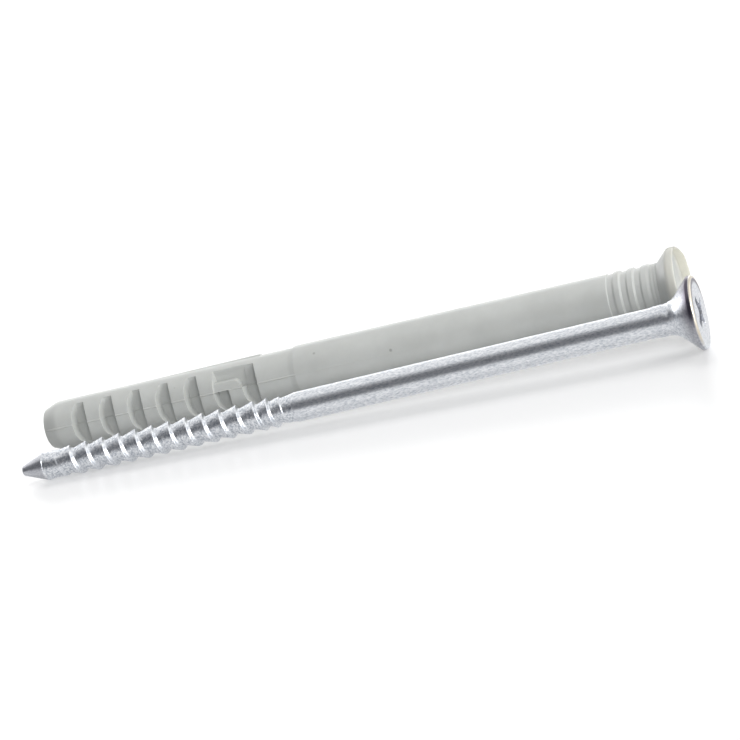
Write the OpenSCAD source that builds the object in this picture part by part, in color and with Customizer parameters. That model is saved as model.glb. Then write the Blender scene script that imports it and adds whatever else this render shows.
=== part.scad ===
// Hammer fixing: a moulded expansion plug and its nail screw, lying side by side.
// X runs from the tips to the heads, Z is up, and both pieces rest on the plane z = 0.
// Each piece is drawn along its own axis with its tip at zero, then laid down.

/* [Sleeve] */
// Length of the sleeve from nose to collar face
sleeve_len = 100; // [80:1:160]
// Diameter of the plain barrel, which is the drill size
barrel_d = 8; // [7.6:0.1:10]
// Radial room between the thread crest and the bore
bore_clearance = 0.175; // [0.05:0.025:0.3]
// Length of the expansion zone, measured from the nose
grip_len = 40.5; // [38:0.5:50]
// How far the expansion zone lies below the barrel surface
grip_relief = 0.2; // [0.05:0.05:0.3]
// Length of the small ramp from the expansion zone to the barrel
grip_step_len = 0.6; // [0.2:0.1:1]
// Diameter of the narrow bore that the nail forces open
grip_bore_d = 2.6; // [1.6:0.1:3]
// Length of the funnel between the two bores
funnel_len = 4; // [2:0.5:8]

/* [Nose] */
// Diameter of the flat end of the nose
nose_d = 6.1; // [5.6:0.1:6.6]
// Slope of the nose cone against the axis
nose_angle = 21; // [15:1:30]
// Radius that blends the nose cone into the expansion zone
nose_blend = 2.5; // [1:0.5:5]
// Edge radius at the end of the nose
nose_edge = 0.12; // [0.05:0.01:0.3]

/* [Tooth pockets] */
// Number of pockets along each side
pocket_count = 7; // [3:1:7]
// Distance from the nose to the floor of the first pocket
pocket_start = 5.2; // [5:0.1:5.6]
// Spacing of the pockets
pocket_pitch = 4.62; // [4:0.02:4.8]
// Length of a pocket's floor on the parting line
pocket_floor_len = 1.63; // [1:0.01:2]
// Lean of the wall on the tip side, over the depth of a pocket
pocket_lean = 0.28; // [0.1:0.01:0.4]
// Lean of the flat wall on the collar side, over the depth of a pocket
pocket_ramp = 0.52; // [0.2:0.01:0.8]
// Half of the angle over which the flat floor of a pocket runs out of the sleeve
pocket_reach = 54; // [40:1:60]
// Depth of the long pocket's floor on the parting line
long_pocket_depth = 1.85; // [1.6:0.05:2]
// Height of the long pocket's upright floor above the parting line
long_pocket_flat = 2.2; // [1.8:0.1:2.6]

/* [Locking tongue] */
// Length of the tongue in the long pocket
tongue_len = 3.9; // [2.5:0.1:4.5]
// Height of the tongue above the parting line
tongue_h = 1.45; // [1:0.05:1.8]
// Corner radius of the tongue
tongue_corner = 1; // [0.4:0.05:1]
// Depth of the tongue face below the expansion zone
tongue_recess = 0.45; // [0.2:0.05:0.7]

/* [Fins and parting line] */
// Distance from the nose to the start of the anti-turn fin
fin_start = 14; // [8:0.5:24]
// Distance from the nose to the blunt end of the fin
fin_end = 35.5; // [30:0.5:38]
// Height of the fin at its blunt end
fin_h = 0.2; // [0.1:0.05:0.4]
// Width of the fin
fin_w = 0.8; // [0.4:0.1:1.2]
// Height of the line that the mould halves leave along the expansion zone
flash_h = 0.12; // [0.05:0.01:0.2]
// Width of that line
flash_w = 0.3; // [0.2:0.05:0.5]

/* [Holding rings] */
// Number of coarse rings below the collar
ring_count = 3; // [1:1:5]
// Spacing of the coarse rings
ring_pitch = 2.07; // [1.5:0.01:2.4]
// Length of the slope between a coarse ring's groove and its crest
ring_flank = 0.3; // [0.1:0.05:0.6]
// Lean of the ring tops and grooves, which open towards the collar
ring_lean = 3; // [1:0.5:6]
// How far the crest of a ring stands out of the barrel
ring_rise = 0.12; // [0.05:0.01:0.2]
// How far the groove between rings lies below the barrel
ring_sink = 0.12; // [0.05:0.01:0.2]
// Number of fine rings between the coarse ones and the collar
fine_ring_count = 2; // [1:1:3]
// Spacing of the fine rings
fine_ring_pitch = 0.52; // [0.4:0.01:0.6]
// Length of the slope between a fine ring's groove and its crest
fine_ring_flank = 0.15; // [0.05:0.01:0.2]
// How far a fine ring stands out of the barrel
fine_ring_rise = 0.05; // [0.02:0.01:0.1]

/* [Collar] */
// Wall of the collar lip around the nail head
lip_wall = 0.35; // [0.3:0.05:1]
// Length of the nearly straight rim of the collar
rim_len = 1.2; // [0.9:0.1:2]
// How much the rim narrows towards its flare
rim_draft = 0.13; // [0.05:0.01:0.2]
// Slope of the flare against the axis
flare_angle = 44; // [35:1:50]
// Edge radius of the rim
rim_edge = 0.15; // [0.05:0.05:0.3]
// Width of the two notches in the lip
notch_w = 1.8; // [1:0.1:2.4]
// Depth of the notches
notch_depth = 0.9; // [0.5:0.1:1.2]

/* [Nail screw] */
// Length of the nail screw from tip to head face
nail_len = 105; // [90:1:165]
// Diameter of the plain shank
shank_d = 4.4; // [4:0.05:4.6]
// Diameter of the flat end of the tip
tip_d = 1.45; // [0.8:0.05:2]
// Length of the pointed tip
tip_len = 3.8; // [2.5:0.1:5]
// Diameter of the neck that the heading dies gripped
neck_d = 4.55; // [4.4:0.05:4.8]
// Distance from the head face to the end of the neck
neck_len = 6.4; // [6:0.1:9]
// Length of the small step from shank to neck
neck_step_len = 0.6; // [0.2:0.05:0.8]

/* [Thread] */
// Crest diameter of the thread
thread_d = 4.65; // [4.55:0.05:5]
// Core diameter between the turns
root_d = 3.5; // [3:0.05:3.9]
// Diameter behind the tip, where the thread starts shallow
blank_d = 4.3; // [4:0.05:4.4]
// Axial distance from turn to turn
thread_pitch = 2.68; // [2.4:0.02:3.2]
// Distance from the tip to the end of the thread
thread_end = 43.9; // [30:0.1:60]
// Axial length of the gentle flank that faces the tip
lead_flank_len = 2; // [1.5:0.05:2.05]
// Axial width of the crest
crest_w = 0.12; // [0.05:0.01:0.2]
// Axial length of the steep flank that faces the head
hold_flank_len = 0.22; // [0.05:0.01:0.3]

/* [Nail head] */
// Diameter of the head
head_d = 10.7; // [9:0.1:12]
// Height of the straight rim of the head
head_rim = 0.8; // [0.5:0.05:1]
// Full angle of the countersunk underside
head_angle = 90; // [80:1:100]
// Radius that blends the neck into the underside
head_blend = 3; // [1.5:0.1:3.2]
// Edge radius of the head rim
head_edge = 0.15; // [0.05:0.01:0.25]
// Radial room between the head and its seat in the collar
seat_clearance = 0.1; // [0.05:0.05:0.2]
// Span of the cross recess at the face
recess_span = 5.6; // [4:0.1:6]
// Depth of the cross recess
recess_depth = 2.8; // [1.5:0.1:3]
// Width of a recess wing
recess_wing_w = 1.2; // [0.8:0.05:1.4]
// Diameter of the round middle of the recess
recess_core_d = 2.6; // [1.8:0.1:3]
// Turn of the recess about the axis of the nail
recess_turn = 64; // [0:1:89]

/* [Layout] */
// How far the nail tip lies ahead of the sleeve nose
nail_lead = 1.4; // [0:0.1:5]
// Sideways room between the collar and the nail head
lay_gap = 0.9; // [0.5:0.1:20]
// Turn of the sleeve that lifts its parting line from the horizontal
sleeve_roll = 14; // [0:1:45]
// Turn of the nail about its own axis
nail_roll = 40; // [0:1:359]

/* [Hidden] */
$fn = 96;

// Overlap that lets a cut or a joined form pass cleanly through a surface
overlap = 0.1;
// Straight pieces that stand for one blend arc
arc_steps = 8;
// Straight pieces that stand for one turn of the thread
turn_steps = 32;
// Height share of the thread where it starts
thread_start_share = 0.35;
// Turns over which the thread rises from the core and sinks back
thread_rise_turns = 1.6;
thread_fall_turns = 0.8;
// Length of the core's change from blank to root, and from root to shank
core_run_in = 4.5;
core_run_out = 1.4;
// Share of a pitch from the last coarse crest to the fine rings
ring_tail = 0.4;
// Share of the recess span and core left at the recess floor
recess_taper = 0.45;

barrel_r = barrel_d / 2;
grip_r = barrel_r - grip_relief;
nose_r = nose_d / 2;
thread_r = thread_d / 2;
root_r = root_d / 2;
blank_r = blank_d / 2;
shank_r = shank_d / 2;
neck_r = neck_d / 2;
tip_r = tip_d / 2;
head_r = head_d / 2;

bore_r = thread_r + bore_clearance;
seat_r = head_r + seat_clearance;
rim_r = seat_r + lip_wall;
seat_z = sleeve_len - head_rim - (seat_r - bore_r) / tan(head_angle / 2);
flare_z = sleeve_len - rim_len - (rim_r - rim_draft - barrel_r) / tan(flare_angle);
fine_rings_z = flare_z - fine_ring_count * fine_ring_pitch;
rings_z = fine_rings_z - (ring_count - 0.5 + ring_tail) * ring_pitch;
barrel_end = rings_z - ring_pitch / 4;

// The nose cone touches the edge arc and the blend arc, which sets where the blend ends
nose_z = nose_edge + (cos(nose_angle) * (grip_r - nose_blend - nose_r + nose_edge)
    + nose_blend - nose_edge) / sin(nose_angle);

pocket_floor_x = grip_r * cos(pocket_reach);
pocket_depth = grip_r - pocket_floor_x;
long_floor_x = grip_r - long_pocket_depth;
pocket_outer_r = barrel_r + 1;
lock_z = pocket_start + (pocket_count - 2) * pocket_pitch;
// Length of the tongue that is rooted in the leaning wall of its pocket
tongue_root = pocket_lean + overlap;

tooth_len = lead_flank_len + crest_w + hold_flank_len;
thread_turns = floor((thread_end - tip_len - tooth_len) / thread_pitch);
blend_end_r = neck_r + head_blend * (1 - cos(head_angle / 2));
blend_z = nail_len - head_rim - (head_r - blend_end_r) / tan(head_angle / 2)
    - head_blend * sin(head_angle / 2);

// Centre of the arc that rounds the lower edge of the head rim
head_low_z = nail_len - head_rim + head_edge * tan(head_angle / 4);

// Slope of each axis when the piece lies on its widest rim and on its tip end
sleeve_tilt = atan2(rim_r - grip_r, sleeve_len - rim_edge - nose_z);
nail_rest_z = tip_len + 2 * thread_pitch;
nail_tilt = atan2(head_r - thread_r, nail_len - head_rim - nail_rest_z);

axis_gap = rim_r + head_r + lay_gap;
sleeve_y = (axis_gap - rim_r + head_r) / 2;
nail_y = sleeve_y - axis_gap;
nail_x = -(nail_len * cos(nail_tilt) + (head_r - tip_r) * sin(nail_tilt)) / 2;
sleeve_x = nail_x + nail_lead;

// Points of an arc in the plane of radius and length
function arc(r, z, radius, from, to) =
    [for (i = [0:arc_steps])
        let (a = from + (to - from) * i / arc_steps)
        [r + radius * cos(a), z + radius * sin(a)]];

// Rings of a ringed band: groove, then crest, each leaning a little between its flanks
function rings(z, count, pitch, flank, low, high) =
    [for (i = [0:count - 1], half = [0, 1], side = [-1, 1])
        let (reach = side * (pitch / 4 - flank / 2))
        [(half == 0 ? low : high) + reach * tan(ring_lean), z + (i + half / 2) * pitch + reach]];

function sleeve_outline(grow) = concat(
    [[0, -grow]],
    arc(nose_r - nose_edge, nose_edge, nose_edge + grow, -90, -nose_angle),
    arc(grip_r - nose_blend, nose_z, nose_blend + grow, -nose_angle, 0),
    [[grip_r + grow, grip_len]]
);

// Lays a piece on z = 0: turns its axis from Z to X, rolls it, tips it and sets it down
module lie(x, y, roll, tilt, rest_z, rest_r) {
    translate([x, y, rest_r * cos(tilt) - rest_z * sin(tilt)])
        rotate([0, -tilt, 0])
            rotate([-90 - roll, 0, 0])
                rotate([0, 90, 0])
                    children();
}

// Repeats a form on the opposite side of the axis
module both_sides() {
    for (turn = [0, 180])
        rotate([0, 0, turn])
            children();
}

// Turned form of the sleeve without its bore
module sleeve_blank() {
    rotate_extrude()
        polygon(concat(
            sleeve_outline(0),
            [[barrel_r, grip_len + grip_step_len], [barrel_r, barrel_end]],
            rings(rings_z, ring_count, ring_pitch, ring_flank, barrel_r - ring_sink, barrel_r + ring_rise),
            rings(
                fine_rings_z,
                fine_ring_count,
                fine_ring_pitch,
                fine_ring_flank,
                barrel_r,
                barrel_r + fine_ring_rise
            ),
            [[barrel_r, flare_z], [rim_r - rim_draft, sleeve_len - rim_len]],
            arc(rim_r - rim_edge, sleeve_len - rim_edge, rim_edge, 0, 90),
            [[0, sleeve_len]]
        ));
}

// Narrow bore, funnel, clearance bore and seat for the nail head
module sleeve_bore() {
    rotate_extrude()
        polygon([
            [0, -1],
            [grip_bore_d / 2, -1],
            [grip_bore_d / 2, grip_len],
            [bore_r, grip_len + funnel_len],
            [bore_r, seat_z],
            [seat_r, sleeve_len - head_rim],
            [seat_r, sleeve_len + 1],
            [0, sleeve_len + 1]
        ]);
}

// Pocket cut straight across the sleeve: leaning walls and a flat floor that runs out above and below
module pocket(z) {
    far_z = z + pocket_floor_len;
    beyond = (pocket_outer_r - pocket_floor_x) / pocket_depth;
    rotate([90, 0, 0])
        linear_extrude(2 * pocket_outer_r, center = true)
            polygon([
                [pocket_floor_x, z],
                [pocket_floor_x, far_z],
                [pocket_outer_r, far_z + pocket_ramp * beyond],
                [pocket_outer_r, z - pocket_lean * beyond]
            ]);
}

// Cut on one side of the parting line that joins the last two pockets into a long one with a sloped top
module long_pocket_link() {
    edge = [grip_r * cos(pocket_reach), -grip_r * sin(pocket_reach)];
    top = [long_floor_x, -long_pocket_flat];
    past = 2 * edge - top;
    translate([0, 0, lock_z + overlap])
        linear_extrude(pocket_pitch)
            polygon([[long_floor_x, 0], top, past, [pocket_outer_r, past[1]], [pocket_outer_r, 0]]);
}

// Pockets of one side
module pocket_row() {
    for (i = [0:pocket_count - 1])
        pocket(pocket_start + i * pocket_pitch);
    long_pocket_link();
}

// Raised parting line on the floors of the whole pockets
module pocket_flash() {
    for (i = [0:pocket_count - 3])
        translate([pocket_floor_x - overlap, -flash_w / 2, pocket_start + i * pocket_pitch - overlap])
            cube([overlap + flash_h, flash_w, pocket_floor_len + 2 * overlap]);
}

// Tongue that stands in the long pocket on the parting line, with one rounded corner
module locking_tongue() {
    intersection() {
        cylinder(r = grip_r - tongue_recess, h = sleeve_len);
        translate([overlap, 0, lock_z - tongue_root])
            rotate([180, 0, 0])
                rotate([0, 90, 0])
                    linear_extrude(grip_r)
                        union() {
                            translate([0, -overlap])
                                square([tongue_root + tongue_len - tongue_corner, overlap + tongue_h]);
                            translate([0, -overlap])
                                square([tongue_root + tongue_len, overlap + tongue_h - tongue_corner]);
                            translate([tongue_root + tongue_len - tongue_corner, tongue_h - tongue_corner])
                                circle(tongue_corner);
                        }
    }
}

// Fin that grows towards its blunt end and keeps the plug from turning
module fin() {
    rotate([0, -90, 0])
        linear_extrude(fin_w, center = true)
            polygon([
                [fin_start, grip_r - 2 * overlap],
                [fin_start, grip_r],
                [fin_end, grip_r + fin_h],
                [fin_end, grip_r - 2 * overlap]
            ]);
}

// Thin plate through the axis that leaves the raised parting line on the expansion zone
module parting_plate() {
    intersection() {
        rotate_extrude()
            polygon(concat(sleeve_outline(flash_h), [[0, grip_len]]));
        translate([-barrel_r, -flash_w / 2, 0])
            cube([barrel_d, flash_w, grip_len]);
    }
}

// Notch through the lip of the collar
module lip_notch() {
    translate([-notch_w / 2, 0, sleeve_len - notch_depth])
        cube([notch_w, rim_r + 1, notch_depth + 1]);
}

// Sleeve along its own axis, with the parting line on X and the fins on Y
module sleeve_upright() {
    difference() {
        union() {
            difference() {
                union() {
                    sleeve_blank();
                    parting_plate();
                }
                both_sides() pocket_row();
            }
            both_sides() pocket_flash();
            both_sides() locking_tongue();
            both_sides() fin();
        }
        sleeve_bore();
        both_sides() lip_notch();
    }
}

// Pointed tip of the nail, up to the shoulder where the thread starts
module nail_tip() {
    cylinder(r1 = tip_r, r2 = shank_r, h = tip_len);
}

// Shank, gripped neck and countersunk head, from the end of the thread up
module nail_shank() {
    rotate_extrude()
        polygon(concat(
            [
                [0, thread_end],
                [shank_r, thread_end],
                [shank_r, nail_len - neck_len - neck_step_len],
                [neck_r, nail_len - neck_len]
            ],
            arc(neck_r + head_blend, blend_z, head_blend, 180, 180 - head_angle / 2),
            arc(head_r - head_edge, head_low_z, head_edge, -head_angle / 2, 0),
            arc(head_r - head_edge, nail_len - head_edge, head_edge, 0, 90),
            [[0, nail_len]]
        ));
}

// Radius of the core under the thread at one height
function core_r(z) = lookup(z, [
    [tip_len, blank_r],
    [tip_len + core_run_in, root_r],
    [thread_end - core_run_out, root_r],
    [thread_end, blank_r]
]);

// Height share of the thread after a number of turns: it rises from the core and sinks back
function thread_share(turn) = max(0, min(
    1,
    thread_start_share + turn / thread_rise_turns,
    (thread_turns - 1 / turn_steps - turn) / thread_fall_turns
));

// Radius and height of the buttress section where one turn crosses a line along the nail
function tooth(turn) =
    let (
        z = tip_len + thread_pitch * turn,
        share = thread_share(turn)
    )
    [for (corner = [
        [0, 0],
        [1, lead_flank_len],
        [1, lead_flank_len + crest_w],
        [0, tooth_len]
    ])
        let (base = core_r(z + corner[1]))
        [base + corner[0] * share * (thread_r - base), z + corner[1]]];

// Radii and heights along one line of the threaded length, from its start to its end
function thread_line(k) = concat(
    [[blank_r, tip_len]],
    [for (m = [0:thread_turns - 1]) each tooth(m + k / turn_steps)],
    [[blank_r, thread_end]]
);

// Right-hand buttress thread on its core: lines along the nail, joined one tooth higher after each turn
module threaded_length() {
    per_line = 4 * thread_turns + 2;
    top = per_line - 1;
    last = turn_steps - 1;
    function at(k, j) = k * per_line + j;
    points = [
        for (k = [0:last], p = thread_line(k))
            let (a = 360 * k / turn_steps)
            [p[0] * cos(a), p[0] * sin(a), p[1]]
    ];
    between = [
        for (k = [0:last - 1], j = [0:top - 1])
            each [[at(k, j), at(k, j + 1), at(k + 1, j + 1)], [at(k, j), at(k + 1, j + 1), at(k + 1, j)]]
    ];
    around = [
        for (j = [1:top - 6])
            each [[at(last, j), at(last, j + 1), at(0, j + 5)], [at(last, j), at(0, j + 5), at(0, j + 4)]]
    ];
    start = concat(
        [[at(last, 0), at(last, 1), at(0, 5)]],
        [for (j = [0:4]) [at(last, 0), at(0, j + 1), at(0, j)]]
    );
    finish = concat(
        [for (j = [top - 5:top - 1]) [at(0, top - 1), at(last, j), at(last, j + 1)]],
        [[at(0, top - 1), at(last, top), at(0, top)]]
    );
    ends = [[for (k = [0:last]) at(k, 0)], [for (k = [0:last]) at(last - k, top)]];
    polyhedron(points = points, faces = concat(between, around, start, finish, ends));
}

// Cross recess with tapered wings and a round middle
module cross_recess() {
    half = recess_span / 2;
    floor_z = nail_len - recess_depth;
    for (turn = [0, 90])
        rotate([90, 0, turn])
            linear_extrude(recess_wing_w, center = true)
                polygon([
                    [-half, nail_len + overlap],
                    [half, nail_len + overlap],
                    [half * recess_taper, floor_z],
                    [-half * recess_taper, floor_z]
                ]);
    translate([0, 0, floor_z])
        cylinder(d1 = recess_core_d * recess_taper, d2 = recess_core_d, h = recess_depth + overlap);
}

// Nail along its own axis
module nail_upright() {
    difference() {
        union() {
            nail_tip();
            threaded_length();
            nail_shank();
        }
        rotate([0, 0, recess_turn]) cross_recess();
    }
}

module plug_sleeve() {
    color("#b4b6b0")
        lie(sleeve_x, sleeve_y, sleeve_roll, sleeve_tilt, nose_z, grip_r)
            sleeve_upright();
}

module nail_screw() {
    color("#c9d0da")
        lie(nail_x, nail_y, nail_roll, nail_tilt, nail_rest_z, thread_r)
            nail_upright();
}

plug_sleeve();
nail_screw();
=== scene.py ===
"""Hammer fixing plug: a moulded sleeve and its nail screw side by side in a white studio.

Lengths are in millimetres along each piece's own axis, which starts at the nose or the tip. A piece's
points are then laid on the table, in metres, and keep their own place for the textures. In names, z is a
length along the axis, r a radius about it, h a height and w a width. Angles are in degrees.
"""

from __future__ import annotations

import logging
import math
from dataclasses import dataclass
from enum import Enum
from typing import Any

import bpy
import numpy as np
from mathutils import Matrix, Vector

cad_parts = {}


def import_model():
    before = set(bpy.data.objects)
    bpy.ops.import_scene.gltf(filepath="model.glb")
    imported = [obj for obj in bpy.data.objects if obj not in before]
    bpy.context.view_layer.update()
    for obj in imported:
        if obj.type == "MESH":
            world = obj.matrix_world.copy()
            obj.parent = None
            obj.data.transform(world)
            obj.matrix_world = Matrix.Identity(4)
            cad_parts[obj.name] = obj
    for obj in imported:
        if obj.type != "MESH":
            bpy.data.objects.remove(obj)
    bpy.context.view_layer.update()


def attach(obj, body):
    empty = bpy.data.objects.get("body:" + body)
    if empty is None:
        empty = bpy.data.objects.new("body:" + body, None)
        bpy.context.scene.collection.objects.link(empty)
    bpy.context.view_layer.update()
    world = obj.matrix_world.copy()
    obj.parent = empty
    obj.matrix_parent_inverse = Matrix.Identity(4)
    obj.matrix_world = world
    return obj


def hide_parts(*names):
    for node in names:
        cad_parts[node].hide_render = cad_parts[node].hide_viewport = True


LOG = logging.getLogger("hammer_fixing_plug")
MM = 0.001
ROOT_BODY = "root"
OWN_PLACE = "own_place"
# Points that fall together on a grid of this many millimetres are joined
WELD_STEP = 1e-4
# Decimals that tell one line along a piece from another, in degrees
TURN_DIGITS = 4
# Keeps a divisor away from 0
LEAST_DIVISOR = 0.02

# Start and end of a soft step
Fade = tuple[float, float]
# Start, end and step of a run of values
Span = tuple[float, float, float]
Place = tuple[float, float, float]


class Slot(Enum):
    """Material slots of the record."""

    POLYAMIDE = "moulded_polyamide"
    ZINC = "bright_zinc_plated_steel"


class Mark(Enum):
    """Shares that each point of a piece hands to its material."""

    THIN_WALL_PAINTED_GLOW = "thin_wall_painted_glow"
    ROLLED = "rolled"
    PAINTED_SHADE_AND_DARK_TIP = "painted_shade_and_dark_tip"
    PAINTED_HIGHLIGHT = "painted_highlight"


def linear(hex_colour: str) -> tuple[float, float, float, float]:
    """Turns an sRGB hex colour into linear light.

    Args:
        hex_colour: The colour as "#rrggbb".

    Returns:
        Red, green, blue and alpha.
    """
    parts = [int(hex_colour[i : i + 2], 16) / 255 for i in (1, 3, 5)]
    red, green, blue = [c / 12.92 if c <= 0.04045 else ((c + 0.055) / 1.055) ** 2.4 for c in parts]
    return red, green, blue, 1.0


def per_metre(size_mm: float) -> float:
    """Texture scale that repeats a pattern once in each size_mm."""
    return 1 / (size_mm * MM)


def add_node(
    tree: bpy.types.NodeTree,
    kind: str,
    settings: dict[str, Any] | None = None,
    inputs: dict[str, Any] | None = None,
) -> bpy.types.Node:
    """Adds a node with its settings and links.

    Args:
        tree: The node tree that takes the node.
        kind: Blender's type name of the node.
        settings: Values of the node's own properties.
        inputs: For each input socket, by identifier, a constant or the output socket that feeds it.

    Returns:
        The new node.
    """
    node = tree.nodes.new(kind)
    for name, value in (settings or {}).items():
        setattr(node, name, value)
    sockets = {socket.identifier: socket for socket in node.inputs}
    for name, value in (inputs or {}).items():
        if isinstance(value, bpy.types.NodeSocket):
            tree.links.new(value, sockets[name])
        else:
            sockets[name].default_value = value
    return node


def empty_tree(owner: bpy.types.Material | bpy.types.World) -> bpy.types.NodeTree:
    """Switches a material or the world to nodes and clears them.

    Args:
        owner: The material or world.

    Returns:
        Its empty node tree.
    """
    owner.use_nodes = True
    owner.node_tree.nodes.clear()
    return owner.node_tree


def smoothstep(low: float, high: float, value: np.ndarray) -> np.ndarray:
    """Soft step from 0 at low to 1 at high; low may be the greater.

    Args:
        low: Where the step starts.
        high: Where the step ends.
        value: Where it is taken.

    Returns:
        The step's height at each value.
    """
    share = np.clip((value - low) / (high - low), 0, 1)
    return share * share * (3 - 2 * share)


def fade(at: float, span: Fade, value: np.ndarray) -> np.ndarray:
    """Soft step whose start and end are counted from at."""
    return smoothstep(at + span[0], at + span[1], value)


def spread(at: float, span: Span) -> np.ndarray:
    """Even values with the start, end and step of a span, counted from at."""
    return at + np.arange(*span)


def soft_min(a: np.ndarray, b: np.ndarray, edge: float) -> np.ndarray:
    """Lesser of two heights, with the ridge between them rounded.

    Args:
        a: First heights.
        b: Second heights.
        edge: Size of the rounding.

    Returns:
        The rounded lesser heights.
    """
    near = np.maximum(edge - np.abs(a - b), 0) / edge
    return np.minimum(a, b) - near * near * edge / 4


def soft_max(a: np.ndarray, b: np.ndarray, edge: float) -> np.ndarray:
    """Greater of two heights, with the groove between them rounded."""
    return -soft_min(-a, -b, edge)


def arc(r: float, z: float, radius: float, start: float, end: float, steps: int) -> np.ndarray:
    """Points of an arc in the plane of length and radius.

    Args:
        r: Radius of the arc's centre about the axis.
        z: Length at the arc's centre.
        radius: The arc's own radius.
        start: First angle in degrees, 0 pointing away from the axis.
        end: Last angle in degrees.
        steps: Straight pieces that stand for the arc.

    Returns:
        Rows of length and radius.
    """
    angle = np.radians(np.linspace(start, end, steps + 1))
    return np.column_stack([z + radius * np.sin(angle), r + radius * np.cos(angle)])


def thinned(values: np.ndarray, least: float) -> np.ndarray:
    """Sorts values and drops those closer than least to the one before.

    Args:
        values: The values.
        least: Least step that is kept.

    Returns:
        The values that stay.
    """
    kept: list[float] = []
    for value in np.sort(values):
        if not kept or value - kept[-1] >= least:
            kept.append(float(value))
    return np.array(kept)


def welded_object(
    name: str, points: np.ndarray, quads: np.ndarray, lay: Matrix, marks: dict[Mark, np.ndarray]
) -> bpy.types.Object:
    """Makes a mesh object, joins points that fall together and drops faces that vanish.

    Args:
        name: Name of the object.
        points: Points in millimetres along the piece's own axis.
        quads: Point numbers of each four-sided face.
        lay: Turn and shift that lay the piece on the table.
        marks: Shares for the material, one number a point.

    Returns:
        The new object, linked to the scene.
    """
    keys = np.round(points / WELD_STEP).astype(np.int64)
    _, first, inverse = np.unique(keys, axis=0, return_index=True, return_inverse=True)
    faces = []
    for quad in inverse.ravel()[quads].tolist():
        corners = [v for i, v in enumerate(quad) if v != quad[i - 1]]
        if len(set(corners)) == len(corners) and len(corners) >= 3:
            faces.append(corners)
    own = points[first] * MM
    turn = np.array(lay)
    mesh = bpy.data.meshes.new(name)
    mesh.from_pydata((own @ turn[:3, :3].T + turn[:3, 3]).tolist(), [], faces)
    place = mesh.attributes.new(OWN_PLACE, "FLOAT_VECTOR", "POINT")
    place.data.foreach_set("vector", own.astype(np.float32).ravel())
    for mark, values in marks.items():
        layer = mesh.attributes.new(mark.value, "FLOAT", "POINT")
        layer.data.foreach_set("value", values[first].astype(np.float32))
    mesh.shade_smooth()
    mesh.update()
    obj = bpy.data.objects.new(name, mesh)
    bpy.context.scene.collection.objects.link(obj)
    return obj


def ring_quads(rows: int, columns: int, close_rows: bool, close_columns: bool) -> np.ndarray:
    """Faces of a grid of points.

    Args:
        rows: Rows of the grid.
        columns: Points in a row.
        close_rows: Whether the last row joins the first.
        close_columns: Whether the last point of a row joins the first.

    Returns:
        Point numbers of each face.
    """
    j = np.arange(rows if close_rows else rows - 1)[:, None]
    k = np.arange(columns if close_columns else columns - 1)[None, :]
    up = (j + 1) % rows
    on = (k + 1) % columns
    corners = [j * columns + k, j * columns + on, up * columns + on, up * columns + k]
    return np.stack([np.broadcast_to(c, (j.size, k.size)) for c in corners], axis=-1).reshape(-1, 4)


@dataclass(frozen=True)
class Lay:
    """How a piece lies on the table, in millimetres and degrees.

    Its axis starts over x and y, and it rests on two circles round that axis, given by length and radius.
    """

    x: float
    y: float
    roll: float
    low: tuple[float, float]
    high: tuple[float, float]

    def matrix(self) -> Matrix:
        """Works out how a piece that lies this way is turned and shifted.

        Returns:
            The piece's world matrix.
        """
        (low_z, low_r), (high_z, high_r) = self.low, self.high
        tilt = math.atan2(high_r - low_r, high_z - low_z)
        start = Vector((self.x, self.y, low_r * math.cos(tilt) - low_z * math.sin(tilt)))
        turn = Matrix.Rotation(-tilt, 4, "Y")
        turn = turn @ Matrix.Rotation(math.radians(-90 - self.roll), 4, "X")
        turn = turn @ Matrix.Rotation(math.radians(90), 4, "Y")
        return Matrix.Translation(start * MM) @ turn


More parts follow.
